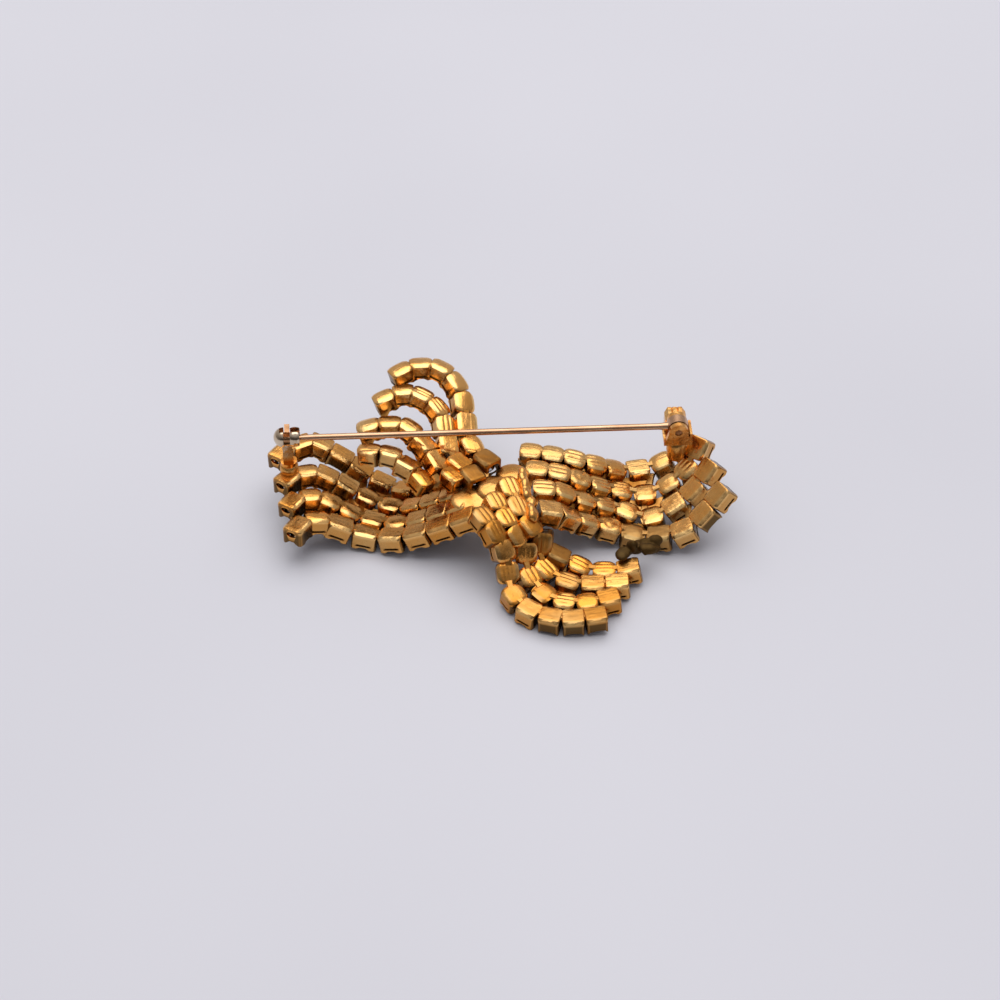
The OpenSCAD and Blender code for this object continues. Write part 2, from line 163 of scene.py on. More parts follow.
def curveAt(points, t):
    # a smooth curve through the points, t counts them
    last = len(points) - 1
    i = min(max(math.floor(t), 0), last - 1)
    f = t - i
    a = points[i - 1] if i > 0 else 2 * points[0] - points[1]
    b, c = points[i], points[i + 1]
    d = points[i + 2] if i + 2 <= last else 2 * points[last] - points[last - 1]
    return (2 * b + (c - a) * f + (2 * a - 5 * b + 4 * c - d) * f**2 + (3 * b - a - 3 * c + d) * f**3) / 2


def inBow(point):
    # millimetres from hundredths of the length
    return np.array(point) * bow["length"] / 100


def strandPoints(rows, k):
    points = []
    for first, last, second, third, _ in rows:
        share = (0, second, third, 1)[k]
        points.append(inBow(np.array(first) * (1 - share) + np.array(last) * share))
    return points


def cupFrame(rows, points, t):
    # a place on a strand and the directions along it, across it and out of its back
    step = bow["tangentStep"]
    along = curveAt(points, t + step) - curveAt(points, t - step)
    along /= np.linalg.norm(along)
    up = np.array((0, 0, 1.0)) - along * along[2]
    up /= np.linalg.norm(up)
    lean = math.radians(np.interp(t, range(len(rows)), [row[4] for row in rows]))
    back = up * math.cos(lean) + np.cross(along, up) * math.sin(lean)
    return curveAt(points, t), along, np.cross(back, along), back


def strandFrames(ribbon, k, shift):
    # frames at even distances along a strand, each with the distance
    rows, (start, end, count) = ribbon["rows"], ribbon["strands"][k]
    points = strandPoints(rows, k)
    steps = bow["stepsPerRow"]
    ts = [start + i / steps for i in range(round((end - start) * steps) + 1)]
    gaps = [0] + [np.linalg.norm(curveAt(points, t) - curveAt(points, t - 1 / steps)) for t in ts[1:]]
    reach = np.cumsum(gaps)
    pitch = reach[-1] / count
    last = count - 1 if shift == 1 else count
    spots = [np.interp((i + shift) * pitch, reach, ts) for i in range(last)]
    return [(*cupFrame(rows, points, t), pitch) for t in spots]


def cupPlan(length):
    # the outline of a cup, a rectangle with its corners cut
    end, side, cut = length / 2, bow["cupWidth"] / 2, bow["cornerCut"]
    right = [(end - cut, -side), (end, -side + cut), (end, side - cut), (end - cut, side)]
    return right + [(-x, y) for x, y in reversed(right)]


# a cup stands half a pitch on, a neck a whole one
cups = {name: [strandFrames(ribbon, k, 0.5) for k in range(4)] for name, ribbon in ribbons.items()}
necks = {name: [strandFrames(ribbon, k, 1) for k in range(4)] for name, ribbon in ribbons.items()}
corners = np.array([
    origin + along * x + across * y - back * depth
    for strands in cups.values() for strand in strands for origin, along, across, back, pitch in strand
    for x, y in cupPlan(pitch - bow["cupGap"]) for depth in (bow["backBevel"], bow["cupDepth"])
])
low, high = corners.min(0), corners.max(0)
# the move that sets the bow on the table with its outline centred
seat = np.array((-(low[0] + high[0]) / 2, -(low[1] + high[1]) / 2, -low[2]))
cupCount = sum(len(strand) for strands in cups.values() for strand in strands)
print("routes: cups in all", cupCount, "seat", seat.round(3))


# node helpers: an input is a fixed value or the socket that feeds it
def newMaterial(name):
    material = bpy.data.materials.new(name)
    material.use_nodes = True
    tree = material.node_tree
    return material, tree, tree.nodes["Principled BSDF"]


def setInputs(tree, node, inputs):
    for key, value in inputs.items():
        if isinstance(value, bpy.types.NodeSocket):
            tree.links.new(value, node.inputs[key])
        else:
            node.inputs[key].default_value = value


def addNode(tree, kind, inputs=None, **settings):
    node = tree.nodes.new(kind)
    for key, value in settings.items():
        setattr(node, key, value)
    setInputs(tree, node, inputs or {})
    return node


def objectCoords(tree):
    return addNode(tree, "ShaderNodeTexCoord").outputs["Object"]


def splitOf(tree, vector):
    return addNode(tree, "ShaderNodeSeparateXYZ", {"Vector": vector}).outputs


def attributeOf(tree, name, output="Fac"):
    return addNode(tree, "ShaderNodeAttribute", attribute_name=name).outputs[output]


def noiseOf(tree, coords, scale, detail, roughness=0.5, distortion=0.0):
    inputs = {"Vector": coords, "Scale": scale, "Detail": detail}
    inputs |= {"Roughness": roughness, "Distortion": distortion}
    return addNode(tree, "ShaderNodeTexNoise", inputs).outputs["Fac"]


def rampOf(tree, value, stops):
    node = addNode(tree, "ShaderNodeValToRGB", {"Fac": value})
    ramp = node.color_ramp
    for stop in stops[2:]:
        ramp.elements.new(stop[0])
    for element, (place, color) in zip(ramp.elements, stops):
        element.position = place
        element.color = (*color, 1)
    return node.outputs["Color"]


def rangeOf(tree, value, low, high, fromLow=0.3, fromHigh=0.7):
    inputs = {"Value": value, "From Min": fromLow, "From Max": fromHigh, "To Min": low, "To Max": high}
    return addNode(tree, "ShaderNodeMapRange", inputs).outputs["Result"]


def mathOf(tree, operation, a, b):
    return addNode(tree, "ShaderNodeMath", {0: a, 1: b}, operation=operation).outputs["Value"]


def mixOf(tree, factor, color, other):
    inputs = {"Factor": factor, "A": color, "B": (*other, 1)}
    return addNode(tree, "ShaderNodeMix", inputs, data_type="RGBA").outputs["Result"]


def bumpOf(tree, height, distance, before=None):
    inputs = {"Height": height, "Distance": distance, "Strength": 1.0}
    if before is not None:
        inputs["Normal"] = before
    return addNode(tree, "ShaderNodeBump", inputs).outputs["Normal"]


# plated metal: colour runs from a deep to a pale tone, with waves, fine scratches and dull spots
metals = {
    "goldPlate": {
        "deep": (0.84, 0.34, 0.05),
        "pale": (0.90, 0.58, 0.23),
        "stain": (0.15, 0.055, 0.01),
        "stainFrom": 0.64,
        "roughness": (0.12, 0.30),
        "waves": 0.00009,
        "waveScale": 700,
        "scratches": 0.000005,
        "streaks": 0.00004,
    },
    "solderGold": {
        "deep": (0.62, 0.25, 0.04),
        "pale": (0.82, 0.46, 0.15),
        "stain": (0.14, 0.05, 0.01),
        "stainFrom": 0.62,
        "roughness": (0.18, 0.38),
        "waves": 0.00012,
        "waveScale": 560,
        "scratches": 0.000008,
    },
    "hingeGold": {
        "deep": (0.80, 0.32, 0.06),
        "pale": (0.92, 0.58, 0.22),
        "stain": (0.10, 0.04, 0.01),
        "stainFrom": 0.62,
        "roughness": (0.12, 0.28),
        "waves": 0.00007,
        "waveScale": 700,
        "scratches": 0.000006,
    },
    "paleSilver": {
        "deep": (0.52, 0.38, 0.24),
        "pale": (0.72, 0.60, 0.45),
        "stain": (0.16, 0.09, 0.04),
        "stainFrom": 0.60,
        "roughness": (0.08, 0.24),
        "waves": 0.00005,
        "waveScale": 900,
        "scratches": 0.000004,
        "goldBelow": 0.0098,
    },
    "darkRivet": {
        "deep": (0.30, 0.13, 0.05),
        "pale": (0.52, 0.31, 0.17),
        "stain": (0.08, 0.03, 0.01),
        "stainFrom": 0.55,
        "roughness": (0.16, 0.34),
        "waves": 0.00005,
        "waveScale": 900,
        "scratches": 0.000004,
    },
    "pinWire": {
        "deep": (0.52, 0.28, 0.15),
        "pale": (0.68, 0.43, 0.26),
        "stain": (0.28, 0.14, 0.06),
        "stainFrom": 0.68,
        "roughness": (0.16, 0.28),
        "waves": 0.00001,
        "waveScale": 900,
        "scratches": 0.000003,
    },
}
# what all the metals share: how strong each kind of wear is, the painted highlight on the cups' long
# edges, the colour of tarnish that also paints shade, and the noises behind them, each with scale, detail,
# roughness and distortion; waves take their scale from the metal
wear = {
    "cloudNoise": (260, 3, 0.55),
    "cloudOnStrand": (-0.15, 0.25),
    "paintedRimHighlight": 0.45,
    "spotNoise": (1500, 5, 0.62),
    "spotEdge": 0.12,
    "spotMost": 0.8,
    "tarnishAndShade": (0.055, 0.036, 0.014),
    "rubNoise": (900, 4, 0.6),
    "oxideDull": 0.35,
    "waveNoise": (2, 0.45),
    "fineNoise": (9000, 2, 0.5, 0.6),
    "footEdge": 0.0004,
    "streakNoise": (1.2, 3, 0.55, 0.6),
    "streakStretch": (0.3, 1.8, 0.5),
    "streakShift": 90,
}


def plateTone(tree, coords, look):
    # from deep to pale; on the chain each cup adds its own tone and a painted highlight along its crown's
    # long edges
    cloud = noiseOf(tree, coords, *wear["cloudNoise"])
    if "streaks" not in look:
        return rangeOf(tree, cloud, 0, 1)
    own = mathOf(tree, "ADD", rangeOf(tree, cloud, *wear["cloudOnStrand"]), attributeOf(tree, "tone"))
    # painted highlight: the band along each cup's long edges is made paler
    crown = mathOf(tree, "MULTIPLY", attributeOf(tree, "rim"), wear["paintedRimHighlight"])
    return mathOf(tree, "ADD", own, crown)


def wornToGold(tree, coords, plain, edge):
    # the plate is worn to gold towards the foot
    height = splitOf(tree, coords)["Z"]
    foot = rangeOf(tree, height, 1, 0, edge - wear["footEdge"], edge + wear["footEdge"])
    return mixOf(tree, foot, plain, metals["hingeGold"]["deep"])


def streakBump(tree, depth, before):
    # creases along each cup, from its own coordinates and shifted by its tone
    shift = mathOf(tree, "MULTIPLY", attributeOf(tree, "tone"), wear["streakShift"])
    inputs = {0: attributeOf(tree, "local", "Vector"), 1: wear["streakStretch"], 2: shift}
    drawn = addNode(tree, "ShaderNodeVectorMath", inputs, operation="MULTIPLY_ADD").outputs["Vector"]
    return bumpOf(tree, noiseOf(tree, drawn, *wear["streakNoise"]), depth, before)


def metalMaterial(name):
    look = metals[name]
    material, tree, surface = newMaterial(name)
    coords = objectCoords(tree)
    color = rampOf(tree, plateTone(tree, coords, look), [(0, look["deep"]), (1, look["pale"])])
    if "goldBelow" in look:
        color = wornToGold(tree, coords, color, look["goldBelow"])
    spots = noiseOf(tree, coords, *wear["spotNoise"])
    start = look["stainFrom"]
    spotted = rangeOf(tree, spots, 0, wear["spotMost"], start, start + wear["spotEdge"])
    color = mixOf(tree, spotted, color, look["stain"])
    oxide = attributeOf(tree, "oxide")
    # painted shade: the cups' mask of painted shade and oxide, or the piece's own oxide, whichever is
    # more, darkens the colour towards tarnish
    dark = mathOf(tree, "MAXIMUM", attributeOf(tree, "paintedShadeAndOxide"), oxide)
    rub = rangeOf(tree, noiseOf(tree, coords, *wear["rubNoise"]), *look["roughness"])
    relief = bumpOf(tree, noiseOf(tree, coords, look["waveScale"], *wear["waveNoise"]), look["waves"])
    if "streaks" in look:
        relief = streakBump(tree, look["streaks"], relief)
    fine = noiseOf(tree, coords, *wear["fineNoise"])
    setInputs(tree, surface, {
        "Base Color": mixOf(tree, dark, color, wear["tarnishAndShade"]),
        "Metallic": 1,
        "Roughness": mathOf(tree, "ADD", rub, mathOf(tree, "MULTIPLY", oxide, wear["oxideDull"])),
        "Normal": bumpOf(tree, fine, look["scratches"], relief),
    })
    return material


plated = {name: metalMaterial(name) for name in metals}

# the stones are clear glass with a worn silver foil behind
stoneLook = {
    "glassDeep": (0.92, 0.94, 0.97),
    "glassPale": (0.97, 0.98, 1.0),
    "glassNoise": (300, 2),
    "glassRoughness": 0.02,
    "ior": 1.62,
    "foilWorn": (0.62, 0.62, 0.64),
    "foilBright": (0.86, 0.88, 0.92),
    "foilNoise": (2500, 4, 0.6),
    "foilRoughness": 0.12,
}


def stoneMaterials():
    look = stoneLook
    glass, tree, surface = newMaterial("clearStone")
    cloud = noiseOf(tree, objectCoords(tree), *look["glassNoise"])
    setInputs(tree, surface, {
        "Base Color": rampOf(tree, cloud, [(0.3, look["glassDeep"]), (0.7, look["glassPale"])]),
        "Transmission Weight": 1,
        "Roughness": look["glassRoughness"],
        "IOR": look["ior"],
    })
    foil, tree, surface = newMaterial("stoneFoil")
    patches = noiseOf(tree, objectCoords(tree), *look["foilNoise"])
    setInputs(tree, surface, {
        "Base Color": rampOf(tree, patches, [(0.35, look["foilWorn"]), (0.6, look["foilBright"])]),
        "Metallic": 1,
        "Roughness": look["foilRoughness"],
    })
    return glass, foil


clearStone, stoneFoil = stoneMaterials()
print("materials: metals", list(metals), "and stones")


def meshFrom(name, made):
    mesh = bpy.data.meshes.new(name)
    made.to_mesh(mesh)
    made.free()
    return mesh


def storeValues(mesh, name, kind, values):
    # an attribute on the points, or on the faces where it is yes or no
    field = "value" if kind in ("FLOAT", "INT", "BOOLEAN", "QUATERNION") else "vector"
    domain = "FACE" if kind == "BOOLEAN" else "POINT"
    mesh.attributes.new(name, kind, domain).data.foreach_set(field, values)


# a cup is a crowned back on a square box with a slot in each wall; sizes in millimetres
cupShape = {
    "length": 2.9,
    "width": 3.02,
    "depth": 2.5,
    "wall": 0.27,
    "wallTaper": 0.97,
    "floor": 0.66,
    "shoulder": 0.8,
    "flatBevel": 0.3,
    "bevelFrom": 0.74,
    "endBevel": 0.12,
    "endFrom": 0.9,
    "pillowDrop": 0.42,
    "pillowPower": 3.4,
    "endDrop": 0.2,
    "endPower": 4,
    "notch": 0.3,
    "notchHalf": 0.6,
    "notchPower": 4,
    "wideNotch": 0.55,
    "wideNotchPower": 5,
    "endNotch": 0.75,
    "endNotchHalf": 0.7,
    "slotTop": 1.72,
    "slotFoot": 2.06,
    "slotEdge": 0.02,
    "slotHalf": 0.6,
    "slotSink": 0.2 / 1.45,  # as a share of half the cup
    "grooveDepth": 0.1,
    "grooveWidth": 0.085,
    "groovePower": 5,
    "dent": 0.13,
    "dentPower": 1.5,
    "ringDepth": 0.12,
    "ringAt": 0.5,
    "ringWidth": 0.13,
}
# how far an outline draws in towards the corners, along and across, and how suddenly
cupCorners = {"flat": (0.1, 7, 0.1, 6), "pillow": (0.13, 4, 0.16, 4)}
# the kinds of cup that share a feature
cupGroups = {
    "flat": "fweo",
    "openEnd": "eo",
    "wideNotch": "w",
    "slotted": "fpghrd",
    "darkWalls": "we",
    "dented": "d",
    "ringed": "r",
    "fineAcross": "ghr",
}
# an oval cut through one end: its side, width, height and depth below the back
cupHoles = {"e": (1, 1.5, 0.85, 0.85), "o": (-1, 2.1, 1.5, 1.25)}
holeCut = {"reach": 0.9, "sides": 20}
# how dark the painted shade and oxide lie on each part of a cup, and where they begin; also where the
# painted highlight along the long edges begins
cupPaintedLightAndOxide = {
    "ends": 0.6,
    "endsFrom": 0.93,
    "inside": 0.85,
    "insideEdge": 0.15,
    "walls": 0.3,
    "darkWalls": 0.9,
    "wallFrom": 0.45,
    "wallFull": 0.75,
    "cornerClean": 4,
    "cornerLeast": 0.2,
    "most": 0.9,
    "rimHighlightFrom": 0.72,
}
# grooves along the back and, below, where it has its points, both as shares of half the cup
grooveRows = {"g": (-0.26, 0.26), "h": (-0.42, 0.0, 0.42)}
flatSteps = (-1, -0.92, -0.76, -0.6, -0.25, 0.25, 0.6, 0.76, 0.92, 1)
fineSteps = (-1, -0.92, -0.76, -0.6, -0.42, -0.26, -0.13, 0, 0.13, 0.26, 0.42, 0.6, 0.76, 0.92, 1)


def isOf(kind, group):
    return kind in cupGroups[group]


def clipped(value, low=0):
    return min(1, max(low, value))


def backPoint(kind, u, v):
    s = cupShape
    drawIn, power, drawAcross, powerAcross = cupCorners["flat" if isOf(kind, "flat") else "pillow"]
    x = s["length"] / 2 * u * (1 - drawIn * abs(v) ** power)
    y = s["width"] / 2 * v * (1 - drawAcross * abs(u) ** powerAcross)
    if isOf(kind, "flat"):
        z = -s["flatBevel"] * max(0, (abs(v) - s["bevelFrom"]) / (1 - s["bevelFrom"]))
        z -= s["endBevel"] * max(0, (abs(u) - s["endFrom"]) / (1 - s["endFrom"]))
    else:
        z = -s["pillowDrop"] * abs(v) ** s["pillowPower"] - s["endDrop"] * abs(u) ** s["endPower"]
    for row in grooveRows.get(kind, ()):
        across = math.exp(-((v - row) / s["grooveWidth"]) ** 2)
        z -= s["grooveDepth"] * across * (1 - abs(u) ** s["groovePower"])
    if isOf(kind, "ringed"):
        z -= s["ringDepth"] * math.exp(-((math.hypot(u, v) - s["ringAt"]) / s["ringWidth"]) ** 2)
    return x, y, z


def rimHeight(kind, u, v):
    # the rim is notched in the middle of each wall
    s = cupShape
    along = abs(u) if abs(v) == 1 else abs(v)
    if isOf(kind, "openEnd") and abs(u) == 1 and abs(v) < 1:
        return -s["depth"] + s["endNotch"] * max(0, 1 - along / s["endNotchHalf"])
    if isOf(kind, "wideNotch"):
        return -s["depth"] + s["wideNotch"] * max(0, 1 - along ** s["wideNotchPower"])
    return -s["depth"] + s["notch"] * max(0, 1 - (along / s["notchHalf"]) ** s["notchPower"])


def cupShadeAndOxide(kind, at):
    # painted shade, with some dark oxide, where a cup faces its neighbours, down its walls and inside
    s, d = cupShape, cupPaintedLightAndOxide
    if max(abs(at.x), abs(at.y)) < s["width"] / 2 - d["insideEdge"] and at.z < -s["floor"] + 0.01:
        return d["inside"]
    out, side = abs(at.x) * 2 / s["length"], abs(at.y) * 2 / s["width"]
    ends = d["ends"] * max(0, (out - d["endsFrom"]) / (1 - d["endsFrom"]))
    wall = d["darkWalls" if isOf(kind, "darkWalls") else "walls"]
    wall *= clipped((-at.z - d["wallFrom"]) / (d["wallFull"] - d["wallFrom"]))
    wall *= clipped((1 - min(out, side)) * d["cornerClean"], d["cornerLeast"])
    return min(d["most"], ends + wall)


def cupRimHighlight(at):
    # a painted highlight, paler along the crown's long edges
    share = abs(at.y) * 2 / cupShape["width"]
    return 1 if at.z > -cupPaintedLightAndOxide["wallFrom"] and share > cupPaintedLightAndOxide["rimHighlightFrom"] else 0


def cupBack(made, kind, us, vs):
    grid = [[made.verts.new(backPoint(kind, u, v)) for v in vs] for u in us]
    if isOf(kind, "dented"):
        dents = random.Random(f"cup {kind}")
        for row in grid[1:-1]:
            for vert in row[1:-1]:
                vert.co.z -= cupShape["dent"] * dents.random() ** cupShape["dentPower"]
    for i in range(len(us) - 1):
        for j in range(len(vs) - 1):
            made.faces.new((grid[i][j], grid[i + 1][j], grid[i + 1][j + 1], grid[i][j + 1]))
    return grid


def cupLayers(made, kind, top, edge):
    # the rings of points from the back's edge down the wall, over the rim and up to the floor inside
    s = cupShape
    inner = 1 - s["wall"] / (s["width"] / 2)
    plain = [1] * len(top)
    sunk = [1 - s["slotSink"] if min(abs(u), abs(v)) <= s["slotHalf"] else 1 for u, v in edge]
    rim = [rimHeight(kind, u, v) for u, v in edge]

    def layer(heights, shares):
        return [made.verts.new((v.co.x * f, v.co.y * f, z)) for v, f, z in zip(top, shares, heights)]

    def level(depth):
        return [-depth] * len(top)

    layers = [top, layer(level(s["shoulder"]), plain)]
    if isOf(kind, "slotted"):
        layers.append(layer(level(s["slotTop"]), plain))
        layers.append(layer(level(s["slotTop"] + s["slotEdge"]), sunk))
        layers.append(layer(level(s["slotFoot"] - s["slotEdge"]), sunk))
        layers.append(layer(level(s["slotFoot"]), plain))
    layers.append(layer(rim, plain))
    layers.append(layer(rim, [inner * s["wallTaper"]] * len(top)))
    layers.append(layer(level(s["floor"]), [inner] * len(top)))
    return layers


def cupMesh(kind):
    us = fineSteps if isOf(kind, "ringed") else flatSteps
    vs = fineSteps if isOf(kind, "fineAcross") else flatSteps
    made = bmesh.new()
    grid = cupBack(made, kind, us, vs)
    nu, nv = len(us) - 1, len(vs) - 1
    ring = [(i, 0) for i in range(nu)] + [(nu, j) for j in range(nv)]
    ring += [(i, nv) for i in range(nu, 0, -1)] + [(0, j) for j in range(nv, 0, -1)]
    layers = cupLayers(made, kind, [grid[i][j] for i, j in ring], [(us[i], vs[j]) for i, j in ring])
    for upper, under in zip(layers, layers[1:]):
        for n in range(len(ring)):
            m = (n + 1) % len(ring)
            made.faces.new((upper[m], upper[n], under[n], under[m]))
    middle = made.verts.new((0, 0, -cupShape["floor"]))
    for n in range(len(ring)):
        made.faces.new((layers[-1][(n + 1) % len(ring)], layers[-1][n], middle))
    bmesh.ops.scale(made, vec=(mm, mm, mm), verts=made.verts)
    bmesh.ops.recalc_face_normals(made, faces=made.faces)
    mesh = meshFrom(f"cup_{kind}", made)
    spots = [vert.co / mm for vert in mesh.vertices]
    # on the points: the mask of painted shade with oxide, each point's own place, and the band that takes
    # the painted highlight
    storeValues(mesh, "paintedShadeAndOxide", "FLOAT", [cupShadeAndOxide(kind, spot) for spot in spots])
    storeValues(mesh, "local", "FLOAT_VECTOR", [n for spot in spots for n in spot])
    storeValues(mesh, "rim", "FLOAT", [cupRimHighlight(spot) for spot in spots])
    return mesh


def cutHole(shape, side, width, height, depth):
    made = bmesh.new()
    sides = holeCut["sides"]
    bmesh.ops.create_cone(made, cap_ends=True, segments=sides, radius1=0.5, radius2=0.5, depth=1)
    place = Matrix.Translation((side * cupShape["length"] / 2 * mm, 0, -depth * mm))
    size = Matrix.Diagonal((holeCut["reach"] * mm, width * mm, height * mm, 1))
    turned = place @ size @ Matrix.Rotation(math.pi / 2, 4, "Y")
    bmesh.ops.transform(made, matrix=turned, verts=made.verts)
    cutter = bpy.data.objects.new("holeCutter", meshFrom("holeCutter", made))
    scene.collection.objects.link(cutter)
    cut = shape.modifiers.new("hole", "BOOLEAN")
    cut.operation, cut.object, cut.solver = "DIFFERENCE", cutter, "EXACT"
    result = plainMesh(shape)
    shape.modifiers.clear()
    shape.data = result
    bpy.data.objects.remove(cutter)


def plainMesh(source):
    # the evaluated shape of an object as a mesh of its own
    graph = bpy.context.evaluated_depsgraph_get()
    graph.update()
    return bpy.data.meshes.new_from_object(source.evaluated_get(graph), depsgraph=graph)


# edges sharper than this many degrees stay sharp
sharpFrom = {"chain": 32, "melted": 80, "fill": 70, "pad": 60}


def smoothShade(mesh, piece):
    mesh.polygons.foreach_set("use_smooth", [True] * len(mesh.polygons))
    mesh.set_sharp_from_angle(angle=math.radians(sharpFrom[piece]))
    mesh.update()


# a flat bar of unit length along x that narrows in the middle, in millimetres
neckShape = {
    "neck": {"width": 1.15, "waist": 0.8},
    "bridge": {"width": 1.25, "waist": 0.85},
    "thickness": 0.42,
    "waistFrom": 0.2,
    "edgeCut": 0.7,
}


def neckMesh(name):
    made = bmesh.new()
    look, edge = neckShape[name], neckShape["thickness"] / 2
    near = neckShape["waistFrom"]
    rings = []
    for x, share in ((-0.5, 1), (-near, look["waist"]), (near, look["waist"]), (0.5, 1)):
        half = look["width"] * share / 2
        flat = half * neckShape["edgeCut"]
        section = [(-half, 0), (-flat, edge), (flat, edge), (half, 0), (flat, -edge), (-flat, -edge)]
        rings.append([made.verts.new((x * mm, y * mm, z * mm)) for y, z in section])
    for a, b in zip(rings, rings[1:]):
        for n in range(6):
            made.faces.new((a[n], b[n], b[(n + 1) % 6], a[(n + 1) % 6]))
    made.faces.new(rings[0])
    made.faces.new(reversed(rings[-1]))
    bmesh.ops.recalc_face_normals(made, faces=made.faces)
    return meshFrom(name, made)


# depths in millimetres below the back of the cup, rings as shares of the radius
stoneShape = {
    "radius": 1.11,
    "table": 0.58,
    "tableDepth": 2.4,
    "star": 0.8,
    "starRise": 0.62,
    "girdleTop": 1.75,
    "girdleFront": 1.87,
    "pavilion": 0.36,
    "pavilionDepth": 1.16,
    "culet": 0.78,
}


def stoneMesh():
    # a round brilliant, table to the front; the faces behind the girdle are foiled
    s = stoneShape
    made = bmesh.new()

    def ringOf(count, share, depth, turn):
        angles = [math.radians(turn + 360 * i / count) for i in range(count)]
        r = s["radius"] * share
        return [made.verts.new((r * math.cos(a) * mm, r * math.sin(a) * mm, -depth * mm)) for a in angles]

    crownHeight = s["tableDepth"] - s["girdleFront"]
    table = ringOf(8, s["table"], s["tableDepth"], 22.5)
    stars = ringOf(8, s["star"], s["girdleFront"] + s["starRise"] * crownHeight, 0)
    front = ringOf(16, 1, s["girdleFront"], 0)
    rear = ringOf(16, 1, s["girdleTop"], 0)
    mains = ringOf(8, s["pavilion"], s["pavilionDepth"], 0)
    culet = made.verts.new((0, 0, -s["culet"] * mm))
    made.faces.new(table)
    foiled = []
    for i in range(8):
        j = (i + 1) % 8
        made.faces.new((table[i], table[j], stars[j]))
        made.faces.new((table[i], stars[j], front[2 * i + 1], stars[i]))
        made.faces.new((stars[i], front[2 * i - 1], front[2 * i]))
        made.faces.new((stars[i], front[2 * i], front[2 * i + 1]))
        foiled.append(made.faces.new((culet, mains[i], rear[2 * i + 1], mains[j])))
        foiled.append(made.faces.new((mains[i], rear[2 * i - 1], rear[2 * i])))
        foiled.append(made.faces.new((mains[i], rear[2 * i], rear[2 * i + 1])))
    for i in range(16):
        made.faces.new((front[i], front[(i + 1) % 16], rear[(i + 1) % 16], rear[i]))
    bmesh.ops.recalc_face_normals(made, faces=made.faces)
    made.faces.index_update()
    marks = [face in foiled for face in made.faces]
    mesh = meshFrom("stoneShape", made)
    storeValues(mesh, "foiled", "BOOLEAN", marks)
    return mesh


def shapeStore(name, meshes):
    # a collection for the trees to pick from, in the order of the names
    store = bpy.data.collections.new(name)
    for order, mesh in enumerate(meshes):
        shape = bpy.data.objects.new(f"{name}{order:02d}", mesh)
        store.objects.link(shape)
    return store


chainMeshes = [cupMesh(kind) for kind in cupKinds] + [neckMesh("neck"), neckMesh("bridge")]
chainStore = shapeStore("chainShape", chainMeshes)
neckNumber, bridgeNumber = len(cupKinds), len(cupKinds) + 1
scene.collection.children.link(chainStore)
for kind, hole in cupHoles.items():
    cutHole(chainStore.objects[f"chainShape{cupKinds.index(kind):02d}"], *hole)
for shape in chainStore.objects:
    smoothShade(shape.data, "chain")
scene.collection.children.unlink(chainStore)
stoneStore = shapeStore("stoneShape", [stoneMesh()])


def seedTree(name, foilInput):
    # sets shapes on points: kind picks the shape, turn and stretch place it, each a little off true
    tree = bpy.data.node_groups.new(name, "GeometryNodeTree")
    sockets = [("Geometry", "Geometry"), ("Shapes", "Collection"), ("Size", "Float"), ("Wobble", "Float"),
               ("Seed", "Int"), ("Finish", "Material")]
    if foilInput:
        sockets.append(("Foil", "Material"))
    for label, kind in sockets:
        tree.interface.new_socket(name=label, in_out="INPUT", socket_type=f"NodeSocket{kind}")
    tree.interface.new_socket(name="Geometry", in_out="OUTPUT", socket_type="NodeSocketGeometry")
    inputs = addNode(tree, "NodeGroupInput").outputs

    def named(label, kind):
        node = addNode(tree, "GeometryNodeInputNamedAttribute", {"Name": label}, data_type=kind)
        return next(o for o in node.outputs if o.name == "Attribute" and o.enabled)

    store = addNode(tree, "GeometryNodeCollectionInfo", {
        "Collection": inputs["Shapes"], "Separate Children": True, "Reset Children": True})
    wobble = addNode(tree, "FunctionNodeRandomValue", {
        "Min": mathOf(tree, "MULTIPLY", inputs["Wobble"], -1),
        "Max": inputs["Wobble"],
        "Seed": inputs["Seed"],
    }, data_type="FLOAT_VECTOR")
    tilt = addNode(tree, "FunctionNodeEulerToRotation", {"Euler": wobble.outputs["Value"]})
    turned = addNode(tree, "FunctionNodeRotateRotation", {
        "Rotation": named("turn", "QUATERNION"),
        "Rotate By": tilt.outputs["Rotation"],
    }, rotation_space="LOCAL")
    sized = addNode(tree, "ShaderNodeVectorMath", {
        "Vector": named("stretch", "FLOAT_VECTOR"),
        "Scale": inputs["Size"],
    }, operation="SCALE")
    onPoints = addNode(tree, "GeometryNodeInstanceOnPoints", {
        "Points": inputs["Geometry"],
        "Instance": store.outputs["Instances"],
        "Pick Instance": True,
        "Instance Index": named("kind", "INT"),
        "Rotation": turned.outputs["Rotation"],
        "Scale": sized.outputs["Vector"],
    })
    real = addNode(tree, "GeometryNodeRealizeInstances", {"Geometry": onPoints.outputs["Instances"]})
    last = addNode(tree, "GeometryNodeSetMaterial", {
        "Geometry": real.outputs["Geometry"], "Material": inputs["Finish"]})
    if foilInput:
        last = addNode(tree, "GeometryNodeSetMaterial", {
            "Geometry": last.outputs["Geometry"],
            "Selection": named("foiled", "BOOLEAN"),
            "Material": inputs["Foil"],
        })
    addNode(tree, "NodeGroupOutput", {"Geometry": last.outputs["Geometry"]})
    return tree


chainTree = seedTree("chainOnRoute", False)
stoneTree = seedTree("stonesOnRoute", True)


def pointsMesh(name, places):
    # a place is a frame, the number of its shape, tone, stretch and darkness
    frames, kinds, tones, stretches, darks = zip(*places)
    mesh = bpy.data.meshes.new(name)
    mesh.from_pydata([tuple((place[0] + seat) * mm) for place in frames], [], [])
    turns = [n for place in frames for n in Matrix(place[1:4]).transposed().to_quaternion()]
    storeValues(mesh, "turn", "QUATERNION", turns)
    storeValues(mesh, "kind", "INT", kinds)
    storeValues(mesh, "tone", "FLOAT", tones)
    storeValues(mesh, "oxide", "FLOAT", darks)
    storeValues(mesh, "stretch", "FLOAT_VECTOR", [n for stretch in stretches for n in stretch])
    return mesh


